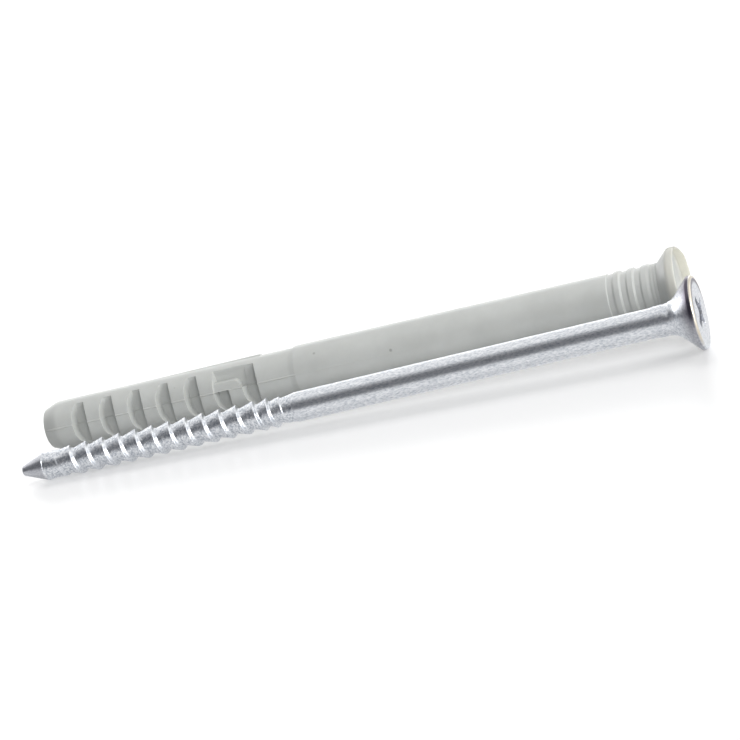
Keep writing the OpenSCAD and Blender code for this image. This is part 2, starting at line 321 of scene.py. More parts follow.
@dataclass(frozen=True)
class MouldedPolyamide:
    """Polyamide from a fine spark-eroded mould.

    The skin is satin and slightly uneven, light sinks in a little, and a few dark specks of burnt resin sit
    in it. Where the wall is thin, light shines through it, and its colour is painted paler and warmer as a
    painted glow.
    """

    body: str = "#c5c7c4"
    shade: str = "#bdbfbc"
    # Colour of the painted glow of the thin wall: the base colour is painted towards it, and the light let
    # through takes it too
    thin_wall_painted_glow: str = "#f0efe8"
    thin_glow: float = 0.7
    speck: str = "#5f625c"
    ior: float = 1.53
    roughness: float = 0.38
    mottle_mm: float = 6.0
    mottle_detail: float = 4.0
    mottle_roughness: float = 0.6
    mottle_range: tuple[float, float] = (0.35, 0.65)
    speck_gap_mm: float = 5.5
    speck_mm: float = 0.3
    speck_strength: float = 0.45
    # The real grain is near 0.05 mm; it is drawn this coarse so that it shows
    grain_mm: float = 0.3
    grain_detail: float = 2.0
    grain_depth_mm: float = 0.02
    grain_strength: float = 0.25
    gloss_swing: float = 0.06
    sink_share: float = 0.15
    # How far red, green and blue light sink in, as shares of sink_mm
    sink_radius: tuple[float, float, float] = (1.0, 0.9, 0.7)
    sink_mm: float = 0.6

    def material(self) -> bpy.types.Material:
        """Builds the material.

        Returns:
            The new material.
        """
        material = bpy.data.materials.new(Slot.POLYAMIDE.value)
        tree = empty_tree(material)
        place = add_node(tree, "ShaderNodeAttribute", {"attribute_name": OWN_PLACE}).outputs["Vector"]
        mottle = add_node(
            tree,
            "ShaderNodeTexNoise",
            inputs={
                "Vector": place,
                "Scale": per_metre(self.mottle_mm),
                "Detail": self.mottle_detail,
                "Roughness": self.mottle_roughness,
            },
        )
        uneven = add_node(
            tree,
            "ShaderNodeMapRange",
            inputs={
                "Value": mottle.outputs["Fac"],
                "From Min": self.mottle_range[0],
                "From Max": self.mottle_range[1],
            },
        )
        colour = add_node(
            tree,
            "ShaderNodeMix",
            {"data_type": "RGBA"},
            {
                "Factor_Float": uneven.outputs["Result"],
                "A_Color": linear(self.shade),
                "B_Color": linear(self.body),
            },
        )
        thin = add_node(tree, "ShaderNodeAttribute", {"attribute_name": Mark.THIN_WALL_PAINTED_GLOW.value})
        cells = add_node(
            tree, "ShaderNodeTexVoronoi", inputs={"Vector": place, "Scale": per_metre(self.speck_gap_mm)}
        )
        edge = self.speck_mm / self.speck_gap_mm
        spot = add_node(
            tree,
            "ShaderNodeMapRange",
            inputs={
                "Value": cells.outputs["Distance"],
                "From Min": edge / 2,
                "From Max": edge,
                "To Min": self.speck_strength,
                "To Max": 0.0,
            },
        )
        # The thin wall's share paints the colour paler as a painted glow; the specks are the material's own
        layers = ((thin.outputs["Fac"], self.thin_wall_painted_glow), (spot.outputs["Result"], self.speck))
        for share, hex_colour in layers:
            colour = add_node(
                tree,
                "ShaderNodeMix",
                {"data_type": "RGBA"},
                {"Factor_Float": share, "A_Color": colour.outputs[2], "B_Color": linear(hex_colour)},
            )
        grain = add_node(
            tree,
            "ShaderNodeTexNoise",
            inputs={"Vector": place, "Scale": per_metre(self.grain_mm), "Detail": self.grain_detail},
        )
        gloss = add_node(
            tree,
            "ShaderNodeMapRange",
            inputs={
                "Value": grain.outputs["Fac"],
                "To Min": self.roughness - self.gloss_swing,
                "To Max": self.roughness + self.gloss_swing,
            },
        )
        bump = add_node(
            tree,
            "ShaderNodeBump",
            inputs={
                "Height": grain.outputs["Fac"],
                "Strength": self.grain_strength,
                "Distance": self.grain_depth_mm * MM,
            },
        )
        shader = add_node(
            tree,
            "ShaderNodeBsdfPrincipled",
            inputs={
                "Base Color": colour.outputs[2],
                "Roughness": gloss.outputs["Result"],
                "Normal": bump.outputs["Normal"],
                "IOR": self.ior,
                "Subsurface Weight": self.sink_share,
                "Subsurface Radius": self.sink_radius,
                "Subsurface Scale": self.sink_mm * MM,
            },
        )
        glow = add_node(tree, "ShaderNodeBsdfTranslucent", inputs={"Color": linear(self.thin_wall_painted_glow)})
        through = add_node(
            tree, "ShaderNodeMapRange", inputs={"Value": thin.outputs["Fac"], "To Max": self.thin_glow}
        )
        wall = add_node(
            tree,
            "ShaderNodeMixShader",
            inputs={
                "Fac": through.outputs["Result"],
                "Shader": shader.outputs["BSDF"],
                "Shader_001": glow.outputs["BSDF"],
            },
        )
        add_node(tree, "ShaderNodeOutputMaterial", inputs={"Surface": wall.outputs["Shader"]})
        return material


@dataclass(frozen=True)
class BrightZincSteel:
    """Steel, cold formed and then bright zinc plated.

    The plating gives a cool silver with a soft mirror. Wire drawing leaves fine lines along the shank, and
    thread rolling leaves a mottled grain on the thread. The pinched tip is drawn darker. The side of the
    head, the ring round its face, the face and the recess carry painted shade, darkest on the upper side,
    and the head's edge carries a warm painted highlight.
    """

    silver: str = "#f0f2f5"
    grey: str = "#aeb4bd"
    # Colour of the painted shade on the head, also used to draw the tip darker
    painted_shade_and_dark_tip: str = "#5d5864"
    # Colour of the warm painted highlight along the head's edge
    painted_highlight: str = "#cfc7b9"
    roughness: float = 0.3
    # Both patterns are finer on the real nail; they are drawn this coarse so that they show
    line_mm: float = 0.2
    line_stretch: float = 0.4
    line_detail: float = 3.0
    line_range: tuple[float, float] = (0.28, 0.78)
    grain_mm: float = 0.34
    grain_detail: float = 4.0
    grain_roughness: float = 0.65
    tone_range: tuple[float, float] = (0.38, 0.6)
    gloss_swing: float = 0.08
    relief_mm: float = 0.06
    drawn_relief: float = 0.3
    rolled_relief: float = 0.9

    def material(self) -> bpy.types.Material:
        """Builds the material.

        Returns:
            The new material.
        """
        material = bpy.data.materials.new(Slot.ZINC.value)
        tree = empty_tree(material)
        place = add_node(tree, "ShaderNodeAttribute", {"attribute_name": OWN_PLACE}).outputs["Vector"]
        along = add_node(
            tree,
            "ShaderNodeMapping",
            inputs={"Vector": place, "Scale": (1.0, 1.0, self.line_stretch)},
        )
        lines = add_node(
            tree,
            "ShaderNodeTexNoise",
            inputs={
                "Vector": along.outputs["Vector"],
                "Scale": per_metre(self.line_mm),
                "Detail": self.line_detail,
            },
        )
        calm = add_node(
            tree,
            "ShaderNodeMapRange",
            inputs={
                "Value": lines.outputs["Fac"],
                "To Min": self.line_range[0],
                "To Max": self.line_range[1],
            },
        )
        grain = add_node(
            tree,
            "ShaderNodeTexNoise",
            inputs={
                "Vector": place,
                "Scale": per_metre(self.grain_mm),
                "Detail": self.grain_detail,
                "Roughness": self.grain_roughness,
            },
        )
        rolled = add_node(tree, "ShaderNodeAttribute", {"attribute_name": Mark.ROLLED.value})
        texture = add_node(
            tree,
            "ShaderNodeMix",
            {"data_type": "FLOAT"},
            {
                "Factor_Float": rolled.outputs["Fac"],
                "A_Float": calm.outputs["Result"],
                "B_Float": grain.outputs["Fac"],
            },
        )
        tone = add_node(
            tree,
            "ShaderNodeMapRange",
            inputs={
                "Value": texture.outputs[0],
                "From Min": self.tone_range[0],
                "From Max": self.tone_range[1],
            },
        )
        colour = add_node(
            tree,
            "ShaderNodeMix",
            {"data_type": "RGBA"},
            {
                "Factor_Float": tone.outputs["Result"],
                "A_Color": linear(self.grey),
                "B_Color": linear(self.silver),
            },
        )
        # Lays the painted shade and darker tip, then the painted highlight, over the metal's colour
        for mark, hex_colour in ((Mark.PAINTED_SHADE_AND_DARK_TIP, self.painted_shade_and_dark_tip), (Mark.PAINTED_HIGHLIGHT, self.painted_highlight)):
            share = add_node(tree, "ShaderNodeAttribute", {"attribute_name": mark.value}).outputs["Fac"]
            colour = add_node(
                tree,
                "ShaderNodeMix",
                {"data_type": "RGBA"},
                {"Factor_Float": share, "A_Color": colour.outputs[2], "B_Color": linear(hex_colour)},
            )
        gloss = add_node(
            tree,
            "ShaderNodeMapRange",
            inputs={
                "Value": texture.outputs[0],
                "To Min": self.roughness + self.gloss_swing,
                "To Max": self.roughness - self.gloss_swing,
            },
        )
        relief = add_node(
            tree,
            "ShaderNodeMapRange",
            inputs={
                "Value": rolled.outputs["Fac"],
                "To Min": self.drawn_relief,
                "To Max": self.rolled_relief,
            },
        )
        bump = add_node(
            tree,
            "ShaderNodeBump",
            inputs={
                "Height": texture.outputs[0],
                "Strength": relief.outputs["Result"],
                "Distance": self.relief_mm * MM,
            },
        )
        shader = add_node(
            tree,
            "ShaderNodeBsdfPrincipled",
            inputs={
                "Base Color": colour.outputs[2],
                "Metallic": 1.0,
                "Roughness": gloss.outputs["Result"],
                "Normal": bump.outputs["Normal"],
            },
        )
        add_node(tree, "ShaderNodeOutputMaterial", inputs={"Surface": shader.outputs["BSDF"]})
        return material


@dataclass
class PlugSleeve:
    """Moulded sleeve: nose, pockets with tongue and parting line, fins, barrel, rings, collar and bore."""

    x: float = -51.147
    y: float = 5.8
    roll: float = 14.0
    length: float = 100.0
    barrel_r: float = 4.0
    grip_r: float = 3.8
    grip_len: float = 40.5
    grip_step_len: float = 0.6
    nose_r: float = 3.05
    nose_angle: float = 21.0
    nose_blend: float = 2.5
    nose_edge: float = 0.12
    pocket_count: int = 7
    pocket_start: float = 5.2
    pocket_pitch: float = 4.62
    pocket_floor_len: float = 1.63
    pocket_lean: float = 0.28
    pocket_ramp: float = 0.52
    pocket_reach: float = 54.0
    pocket_end_depth: float = 0.22
    pocket_end_round: float = 0.6
    pocket_end_turn: float = 34.0
    long_floor: float = 1.95
    long_flat: float = 2.2
    long_shift: float = 0.1
    tongue_len: float = 3.9
    tongue_h: float = 1.45
    tongue_corner: float = 1.0
    tongue_recess: float = 0.45
    tongue_edge: float = 0.65
    # Angles above the parting line between which the tongue's flat top is worked out
    tongue_turn: tuple[float, float] = (0.01, 60.0)
    fin_start: float = 14.0
    fin_end: float = 35.5
    fin_h: float = 0.2
    fin_w: float = 0.8
    flash_h: float = 0.12
    flash_w: float = 0.3
    flash_top_w: float = 0.1
    faint_flash_h: float = 0.03
    trace_full_len: float = 8.0
    trace_end: float = 68.0
    ring_count: int = 3
    ring_pitch: float = 2.07
    ring_flank: float = 0.3
    ring_lean: float = 3.0
    ring_swing: float = 0.12
    # Share of a pitch from the last coarse crest to the fine rings
    ring_tail: float = 0.4
    fine_ring_count: int = 2
    fine_ring_pitch: float = 0.52
    fine_ring_flank: float = 0.15
    fine_ring_rise: float = 0.05
    flare_angle: float = 44.0
    rim_r: float = 5.8
    rim_draft: float = 0.13
    rim_len: float = 1.2
    rim_edge: float = 0.15
    seat_r: float = 5.45
    seat_depth: float = 0.8
    seat_angle: float = 90.0
    bore_r: float = 2.5
    funnel_len: float = 4.0
    grip_bore_r: float = 1.3
    notch_half_angle: float = 9.2
    notch_depth: float = 0.9
    lip_spring: float = 0.5
    edge: float = 0.1
    run_out_edge: float = 0.16
    lip_edge: float = 0.06
    thin_outside: float = 0.5
    sharp_angle: float = 38.0
    # Start and end of soft steps, in degrees or millimetres, counted from the form that they belong to
    pocket_end_wall: Fade = (-2.5, 2.0)
    parting_wall: Fade = (0.6, -0.6)
    fin_wall: Fade = (0.08, -0.04)
    flash_start: Fade = (0.1, 0.5)
    flash_stop: Fade = (0.3, -0.1)
    trace_start: Fade = (0.0, 0.5)
    spring_turn: Fade = (95.0, 140.0)
    # Where the thin lip's painted glow and the light let through start and end
    thin_rim: Fade = (-0.5, 0.3)
    thin_seat: Fade = (-1.2, -0.5)
    # Start, end and step of lines along the sleeve in degrees, closer together round each form
    line_step: float = 5.0
    least_turn: float = 0.25
    parting_lines: Span = (-6, 6.01, 0.75)
    long_pocket_lines: Span = (-58, -5.9, 1.5)
    pocket_end_lines: Span = (42, 58, 2.0)
    fin_lines: Span = (4.4, 7.7, 0.4)
    notch_wall_turn: float = 0.15
    # Start, end and step of rows in millimetres, closer together round each form
    grip_row: float = 1.0
    barrel_row: float = 2.5
    ring_row: float = 0.1
    row_gap: float = 0.2
    least_row: float = 0.015
    pocket_end_rows: Span = (0.1, 0.65, 0.12)
    ramp_rows: Span = (-0.08, 0.66, 0.08)
    long_rows: Span = (-0.15, 0.16, 0.05)
    tongue_corner_rows: Span = (-1.0, -0.2, 0.08)
    tongue_end_rows: Span = (-0.2, 0.1, 0.04)
    fin_rows: Span = (-0.12, 0.13, 0.06)
    # Shares of the tip wall's lean at which it has rows
    wall_shares: tuple[float, ...] = (-0.25, -0.1, 0, 0.2, 0.4, 0.6, 0.8, 0.93, 1, 1.12, 1.3)
    edge_steps: int = 6
    blend_steps: int = 12
    flare_rows: int = 8
    rim_rows: int = 5
    seat_rows: int = 5
    cone_rows: int = 10
    bore_rows: int = 12
    narrow_rows: int = 10

    @property
    def lay(self) -> Lay:
        """The sleeve rests on the front of its expansion zone and on its rim."""
        rim = (self.length - self.rim_edge, self.rim_r)
        return Lay(self.x, self.y, self.roll, (self.nose_z, self.grip_r), rim)

    @property
    def nose_z(self) -> float:
        """Works out where the nose has blended into the expansion zone.

        Returns:
            Length at that place.
        """
        lean = math.radians(self.nose_angle)
        inset = self.grip_r - self.nose_blend - self.nose_r + self.nose_edge
        across = inset * math.cos(lean) + self.nose_blend - self.nose_edge
        return self.nose_edge + across / math.sin(lean)

    @property
    def flare_z(self) -> float:
        """Length at which the barrel starts to flare."""
        rise = self.rim_r - self.rim_draft - self.barrel_r
        return self.length - self.rim_len - rise / math.tan(math.radians(self.flare_angle))

    @property
    def fine_rings_z(self) -> float:
        """Length at the middle of the first fine groove."""
        return self.flare_z - self.fine_ring_count * self.fine_ring_pitch

    @property
    def rings_z(self) -> float:
        """Length at the middle of the first coarse groove."""
        return self.fine_rings_z - (self.ring_count - 1 / 2 + self.ring_tail) * self.ring_pitch

    @property
    def seat_z(self) -> float:
        """Length at which the seat's cone meets the bore."""
        cone_len = (self.seat_r - self.bore_r) / math.tan(math.radians(self.seat_angle / 2))
        return self.length - self.seat_depth - cone_len

    @property
    def lock_z(self) -> float:
        """Length at the floor of the pocket that holds the tongue."""
        return self.pocket_start + (self.pocket_count - 2) * self.pocket_pitch

    @property
    def floor_x(self) -> float:
        """Distance of the flat pocket floors from the axis."""
        return (self.grip_r - self.pocket_end_depth) * math.cos(math.radians(self.pocket_reach))

    def columns(self) -> np.ndarray:
        """Places the lines along the sleeve, close together where a form ends on them.

        Returns:
            Angle of each line in degrees.
        """
        walls = self.notch_half_angle + self.notch_wall_turn * np.array([-1, 1])
        angles = [np.arange(0, 360, self.line_step)]
        for side in (0, 180):
            for span in (self.parting_lines, self.long_pocket_lines, self.pocket_end_lines):
                angles.append(spread(side, span))
            for turn in (np.arange(*self.fin_lines), walls):
                angles += [side + 90 - turn, side + 90 + turn]
        return thinned(np.round(np.concatenate(angles) % 360, TURN_DIGITS), self.least_turn)

    def rings(
        self, z: float, count: int, pitch: float, flank: float, low: float, high: float
    ) -> list[tuple[float, float]]:
        """Rows of a ringed band: groove, then crest, each leaning a little between its flanks.

        Args:
            z: Length at the middle of the first groove.
            count: Number of rings.
            pitch: Spacing of the rings.
            flank: Length of a slope between groove and crest.
            low: Radius of the grooves.
            high: Radius of the crests.

        Returns:
            Rows of length and radius.
        """
        reach = pitch / 4 - flank / 2
        lean = reach * math.tan(math.radians(self.ring_lean))
        return [
            (z + (i + half / 2) * pitch + side * reach, (high if half else low) + side * lean)
            for i in range(count)
            for half in (0, 1)
            for side in (-1, 1)
        ]

    def outline(self) -> np.ndarray:
        """Draws the outer outline from the nose edge to the rim.

        Returns:
            Rows of length and radius.
        """
        steps, edge, lean = self.edge_steps, self.nose_edge, self.nose_angle
        low, high = self.barrel_r - self.ring_swing, self.barrel_r + self.ring_swing
        coarse = self.rings(self.rings_z, self.ring_count, self.ring_pitch, self.ring_flank, low, high)
        fine = self.rings(
            self.fine_rings_z,
            self.fine_ring_count,
            self.fine_ring_pitch,
            self.fine_ring_flank,
            self.barrel_r,
            self.barrel_r + self.fine_ring_rise,
        )
        barrel = [
            (self.grip_len, self.grip_r),
            (self.grip_len + self.grip_step_len, self.barrel_r),
            (self.rings_z - self.ring_pitch / 4, self.barrel_r),
        ]
        collar = [(self.flare_z, self.barrel_r), (self.length - self.rim_len, self.rim_r - self.rim_draft)]
        return np.vstack(
            [
                arc(self.nose_r - edge, edge, edge, -90, -lean, steps),
                arc(self.grip_r - self.nose_blend, self.nose_z, self.nose_blend, -lean, 0, self.blend_steps),
                barrel + coarse + fine + collar,
                arc(self.rim_r - self.rim_edge, self.length - self.rim_edge, self.rim_edge, 0, 90, steps),
            ]
        )

    def outer_rows(self) -> np.ndarray:
        """Places the rows over the outside, close together where the form changes.

        Returns:
            Rows of length and radius.
        """
        outline = self.outline()
        barrel_z = self.grip_len + self.grip_step_len + self.edge
        tongue_end = self.lock_z + self.tongue_len
        foot, top = self.length - self.rim_len, self.length - self.rim_edge
        steps = [
            outline[:, 0],
            np.arange(self.grip_row, self.grip_len, self.grip_row),
            np.arange(barrel_z, self.rings_z, self.barrel_row),
            spread(tongue_end, self.tongue_corner_rows),
            spread(tongue_end, self.tongue_end_rows),
            spread(self.fin_end, self.fin_rows),
            np.arange(self.rings_z - self.ring_pitch / 2, self.flare_z + 2 * self.ring_row, self.ring_row),
            np.linspace(self.flare_z, foot, self.flare_rows),
            np.linspace(foot, top, self.rim_rows),
        ]
        for i in range(self.pocket_count):
            floor_z = self.pocket_start + i * self.pocket_pitch
            steps.append(floor_z - self.pocket_lean * np.array(self.wall_shares))
            steps.append(spread(floor_z, self.pocket_end_rows))
            steps.append(spread(floor_z + self.pocket_floor_len, self.ramp_rows))
        for end in (self.lock_z, self.lock_z + self.pocket_pitch):
            steps.append(spread(end + self.long_shift, self.long_rows))
        z = thinned(np.concatenate(steps), self.least_row)
        z = z[(z >= outline[self.edge_steps, 0]) & (z <= top)]
        r = np.interp(z, outline[:, 0], outline[:, 1])
        return np.vstack([outline[: self.edge_steps], np.column_stack([z, r]), outline[-self.edge_steps :]])

    def inner_rows(self) -> np.ndarray:
        """Places the rows from the rim down the seat and the bore to the nose face.

        Returns:
            Rows of length and radius.
        """
        top, low = self.length, self.length - self.seat_depth
        bore_low = self.grip_len + self.funnel_len
        # Length and radius at the start and at the end of each run, and its count of rows
        runs = (
            (top, self.seat_r + self.lip_edge, top, self.seat_r + self.lip_edge, 1),
            (top - self.lip_edge, self.seat_r, top - self.lip_edge, self.seat_r, 1),
            (top - self.row_gap, self.seat_r, low, self.seat_r, self.seat_rows),
            (low, self.seat_r, self.seat_z, self.bore_r, self.cone_rows),
            (self.seat_z - self.row_gap, self.bore_r, bore_low, self.bore_r, self.bore_rows),
            (self.grip_len, self.grip_bore_r, self.edge, self.grip_bore_r, self.narrow_rows),
            (0, self.grip_bore_r + self.edge, 0, (self.grip_bore_r + self.nose_r) / 2, 2),
        )
        z = np.concatenate([np.linspace(z0, z1, count) for z0, _, z1, _, count in runs])
        r = np.concatenate([np.linspace(r0, r1, count) for _, r0, _, r1, count in runs])
        rows = np.column_stack([z, r])
        again = np.append(False, np.all(rows[1:] == rows[:-1], axis=1))
        return rows[~again]

    def carve(self, z: np.ndarray, r: np.ndarray, turn: np.ndarray) -> np.ndarray:
        """Cuts the pockets into the outside and adds the tongue, the fins and the parting line.

        Args:
            z: Length of each row, as a column.
            r: Radius of each row, as a column.
            turn: Angle of each line along the sleeve in degrees, as a row.

        Returns:
            Radius of each point.
        """
        side = (turn + 90) % 180 - 90
        cosine = np.maximum(np.cos(np.radians(side)), LEAST_DIVISOR)
        depth = self.grip_r - self.floor_x
        radius = np.broadcast_to(r, (z.shape[0], turn.shape[1])).copy()
        past = np.clip((np.abs(side) - self.pocket_reach) / self.pocket_end_turn + 1, 0, 1)
        drawn_in = self.pocket_end_round * past**2
        for i in range(self.pocket_count):
            start = self.pocket_start + i * self.pocket_pitch
            # The long pocket joins the last pocket's upper end, which keeps its full width
            joined = (side < 0) & (i == self.pocket_count - 1)
            tip_z = start + np.where(joined, 0, drawn_in)
            tip_wall = self.floor_x + (tip_z - z) * depth / self.pocket_lean
            far_wall = self.floor_x + (z - start - self.pocket_floor_len) * depth / self.pocket_ramp
            walls = np.maximum(tip_wall, far_wall)
            bottom = soft_max(walls, np.full_like(walls, self.floor_x), self.edge)
            end = fade(self.pocket_reach, self.pocket_end_wall, np.abs(side)) * depth
            radius = soft_min(radius, bottom / cosine + end, self.run_out_edge)
        upper = fade(0, self.parting_wall, side)
        radius += upper * (np.minimum(radius, self.long_pocket(z, side)) - radius)
        radius = np.maximum(radius, self.tongue(z, side))
        radius = np.maximum(radius, self.fin(z, turn))
        return radius + self.flash(z, r, side)

    def long_pocket(self, z: np.ndarray, side: np.ndarray) -> np.ndarray:
        """Radius of the cut that joins the last two pockets above the parting line.

        Args:
            z: Length of each row, as a column.
            side: Angle from the parting line in degrees, as a row.

        Returns:
            Radius of each point of the cut.
        """
        cosine = np.maximum(np.cos(np.radians(side)), LEAST_DIVISOR)
        sine = np.sin(np.radians(np.abs(side)))
        reach = math.radians(self.pocket_reach)
        out = self.grip_r * math.cos(reach) - self.long_floor
        up = self.grip_r * math.sin(reach) - self.long_flat
        # The sloped top runs on past the surface, so beyond it nothing is cut
        past = np.maximum(cosine * up - sine * out, LEAST_DIVISOR)
        slope = (self.long_floor * up - self.long_flat * out) / past
        start = self.lock_z + self.long_shift
        wall = np.maximum(start - z, z - start - self.pocket_pitch) / self.edge
        return np.maximum(np.maximum(self.long_floor / cosine, slope), self.long_floor + wall)

    def tongue(self, z: np.ndarray, side: np.ndarray) -> np.ndarray:
        """Radius of the tongue that stands in the long pocket.

        Args:
            z: Length of each row, as a column.
            side: Angle from the parting line in degrees, as a row.

        Returns:
            Radius of each point, 0 where there is no tongue.
        """
        past = np.clip(z - (self.lock_z + self.tongue_len - self.tongue_corner), 0, self.tongue_corner)
        drop = self.tongue_corner - np.sqrt(self.tongue_corner**2 - past**2)
        top = np.where(z <= self.lock_z + self.tongue_len, self.tongue_h - drop, 0)
        top = np.where(z >= self.lock_z - self.pocket_lean, top, 0)
        rise = np.sin(np.radians(np.clip(-side, *self.tongue_turn)))
        crown = np.full_like(top / rise, self.grip_r - self.tongue_recess)
        body = soft_min(crown, top / rise, self.tongue_edge)
        return np.where((side <= 0) & (side > -self.pocket_reach) & (top > 0), body, 0)

    def fin(self, z: np.ndarray, turn: np.ndarray) -> np.ndarray:
        """Radius of the two fins, which grow towards their blunt ends.

        Args:
            z: Length of each row, as a column.
            turn: Angle of each line in degrees, as a row.

        Returns:
            Radius of each point, 0 beside the fins.
        """
        share = np.clip((z - self.fin_start) / (self.fin_end - self.fin_start), 0, 1)
        share = share * fade(self.fin_end, self.fin_wall, z)
        across = np.radians(np.abs(turn % 180 - 90)) * self.grip_r
        height = self.fin_h * share * fade(self.fin_w / 2, (self.fin_h, -self.fin_h), across)
        return np.where(height > 0, self.grip_r + height, 0)

    def flash(self, z: np.ndarray, r: np.ndarray, side: np.ndarray) -> np.ndarray:
        """Height of the raised parting line, which is only a trace past the expansion zone.

        Args:
            z: Length of each row, as a column.
            r: Radius of each row, as a column.
            side: Angle from the parting line in degrees, as a row.

        Returns:
            Height to add at each point.
        """
        across = np.abs(np.radians(side)) * r
        ridge = smoothstep(self.flash_w / 2, self.flash_top_w / 2, across)
        full = fade(0, self.flash_start, z) * fade(self.grip_len, self.flash_stop, z)
        trace = smoothstep(self.trace_end, self.grip_len + self.trace_full_len, z)
        trace = trace * fade(self.grip_len, self.trace_start, z)
        return ridge * (self.flash_h * full + self.faint_flash_h * trace)

    def notched(
        self, z: np.ndarray, r: np.ndarray, turn: np.ndarray, outside: np.ndarray
    ) -> tuple[np.ndarray, np.ndarray]:
        """Lowers the lip inside the two notches and lets its thin far side spring out a little.

        Args:
            z: Length of each point.
            r: Radius of each point.
            turn: Angle of each line in degrees, as a row.
            outside: Whether each row belongs to the outside, as a column.

        Returns:
            Length and radius of each point.
        """
        inside = np.abs(turn % 180 - 90) < self.notch_half_angle
        top = self.length - self.notch_depth
        foot = self.length - self.rim_len
        seat_low = self.length - self.seat_depth
        outer_z = np.interp(z, [0, foot, self.length], [0, foot, top])
        lowered = [0, self.seat_z, top - self.edge / 2, top]
        inner_z = np.interp(z, [0, self.seat_z, seat_low, self.length], lowered)
        slope = (self.seat_r - self.bore_r) / (seat_low - self.seat_z)
        cone_r = self.bore_r + (inner_z - self.seat_z) * slope
        inner_r = np.where(z >= self.seat_z, np.minimum(r, cone_r), r)
        low_z = np.where(outside, outer_z, inner_z)
        low_r = np.where(outside, r, inner_r)
        away = fade(0, self.spring_turn, np.abs((turn + 180) % 360 - 180))
        sprung = z + self.lip_spring * away * np.clip((z - seat_low) / self.seat_depth, 0, 1)
        return np.where(inside, low_z, sprung), np.where(inside, low_r, r)

    def build(self, finish: bpy.types.Material) -> bpy.types.Object:
        """Builds and dresses the sleeve.

        Args:
            finish: Material of the sleeve.

        Returns:
            The sleeve's object.
        """
        turn = self.columns()[None, :]
        outer = self.outer_rows()
        inner = self.inner_rows()
        rows = np.vstack([outer, inner])
        outside = (np.arange(len(rows)) < len(outer))[:, None]
        z = np.broadcast_to(rows[:, :1], (len(rows), turn.size)).copy()
        r = np.broadcast_to(rows[:, 1:], z.shape).copy()
        r[: len(outer)] = self.carve(outer[:, :1], outer[:, 1:], turn)
        z, r = self.notched(z, r, turn, outside)
        angle = np.radians(turn)
        points = np.stack([r * np.cos(angle), r * np.sin(angle), z], axis=-1).reshape(-1, 3)
        # Painted glow of the thin lip: share of the paler painted colour and of the light let through
        thin = fade(self.length - self.rim_len, self.thin_rim, z)
        thin = thin * np.where(outside, self.thin_outside, fade(self.length, self.thin_seat, z))
        obj = welded_object(
            "sleeve",
            points,
            ring_quads(len(rows), turn.size, True, True),
            self.lay.matrix(),
            {Mark.THIN_WALL_PAINTED_GLOW: thin.ravel()},
        )
        obj.data.set_sharp_from_angle(angle=math.radians(self.sharp_angle))
        obj.data.materials.append(finish)
        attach(obj, ROOT_BODY)
        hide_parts("plug_sleeve")
        return obj


